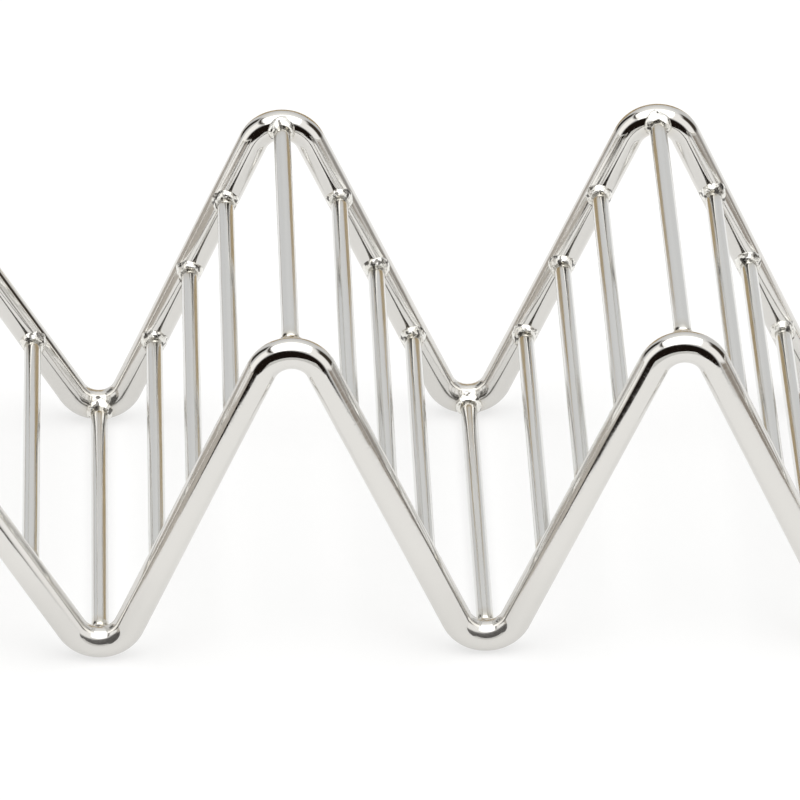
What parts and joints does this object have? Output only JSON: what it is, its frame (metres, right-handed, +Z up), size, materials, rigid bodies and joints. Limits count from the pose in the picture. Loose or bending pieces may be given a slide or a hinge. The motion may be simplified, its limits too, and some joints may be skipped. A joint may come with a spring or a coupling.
{
  "type": "toast rack",
  "caption": "Free-standing wire toast rack: two wave-bent frame wires joined by welded cross rods, holding slices upright in V-shaped slots.",
  "frame": {"origin": "under the middle valley, midway between the two frame wires, on the surface that the rack stands on", "axes": "+X along the rack, across the slots; +Y from the front frame wire to the rear one; +Z up"},
  "size_m": [0.1988, 0.08, 0.0581],
  "materials": {
    "frame_wire": "mirror-polished stainless steel wire",
    "cross_rod": "bright drawn stainless steel rod",
    "weld_metal": "stainless weld metal, as laid, lightly polished"
  },
  "bodies": {
    "root": {"end_bar_welds": "weld_metal", "front_frame_wire": "frame_wire", "front_rod_welds": "weld_metal", "left_arm_rod_1": "cross_rod", "left_arm_rod_2": "cross_rod", "left_arm_rod_3": "cross_rod", "left_inner_leg_rod_1": "cross_rod", "left_inner_leg_rod_2": "cross_rod", "left_inner_leg_rod_3": "cross_rod", "left_outer_leg_rod_1": "cross_rod", "left_outer_leg_rod_2": "cross_rod", "left_outer_leg_rod_3": "cross_rod", "left_peak_rod": "cross_rod", "left_valley_rod": "cross_rod", "middle_valley_rod": "cross_rod", "rear_frame_wire": "frame_wire", "rear_rod_welds": "weld_metal", "right_arm_rod_1": "cross_rod", "right_arm_rod_2": "cross_rod", "right_arm_rod_3": "cross_rod", "right_inner_leg_rod_1": "cross_rod", "right_inner_leg_rod_2": "cross_rod", "right_inner_leg_rod_3": "cross_rod", "right_outer_leg_rod_1": "cross_rod", "right_outer_leg_rod_2": "cross_rod", "right_outer_leg_rod_3": "cross_rod", "right_peak_rod": "cross_rod", "right_valley_rod": "cross_rod"}
  },
  "joints": []
}
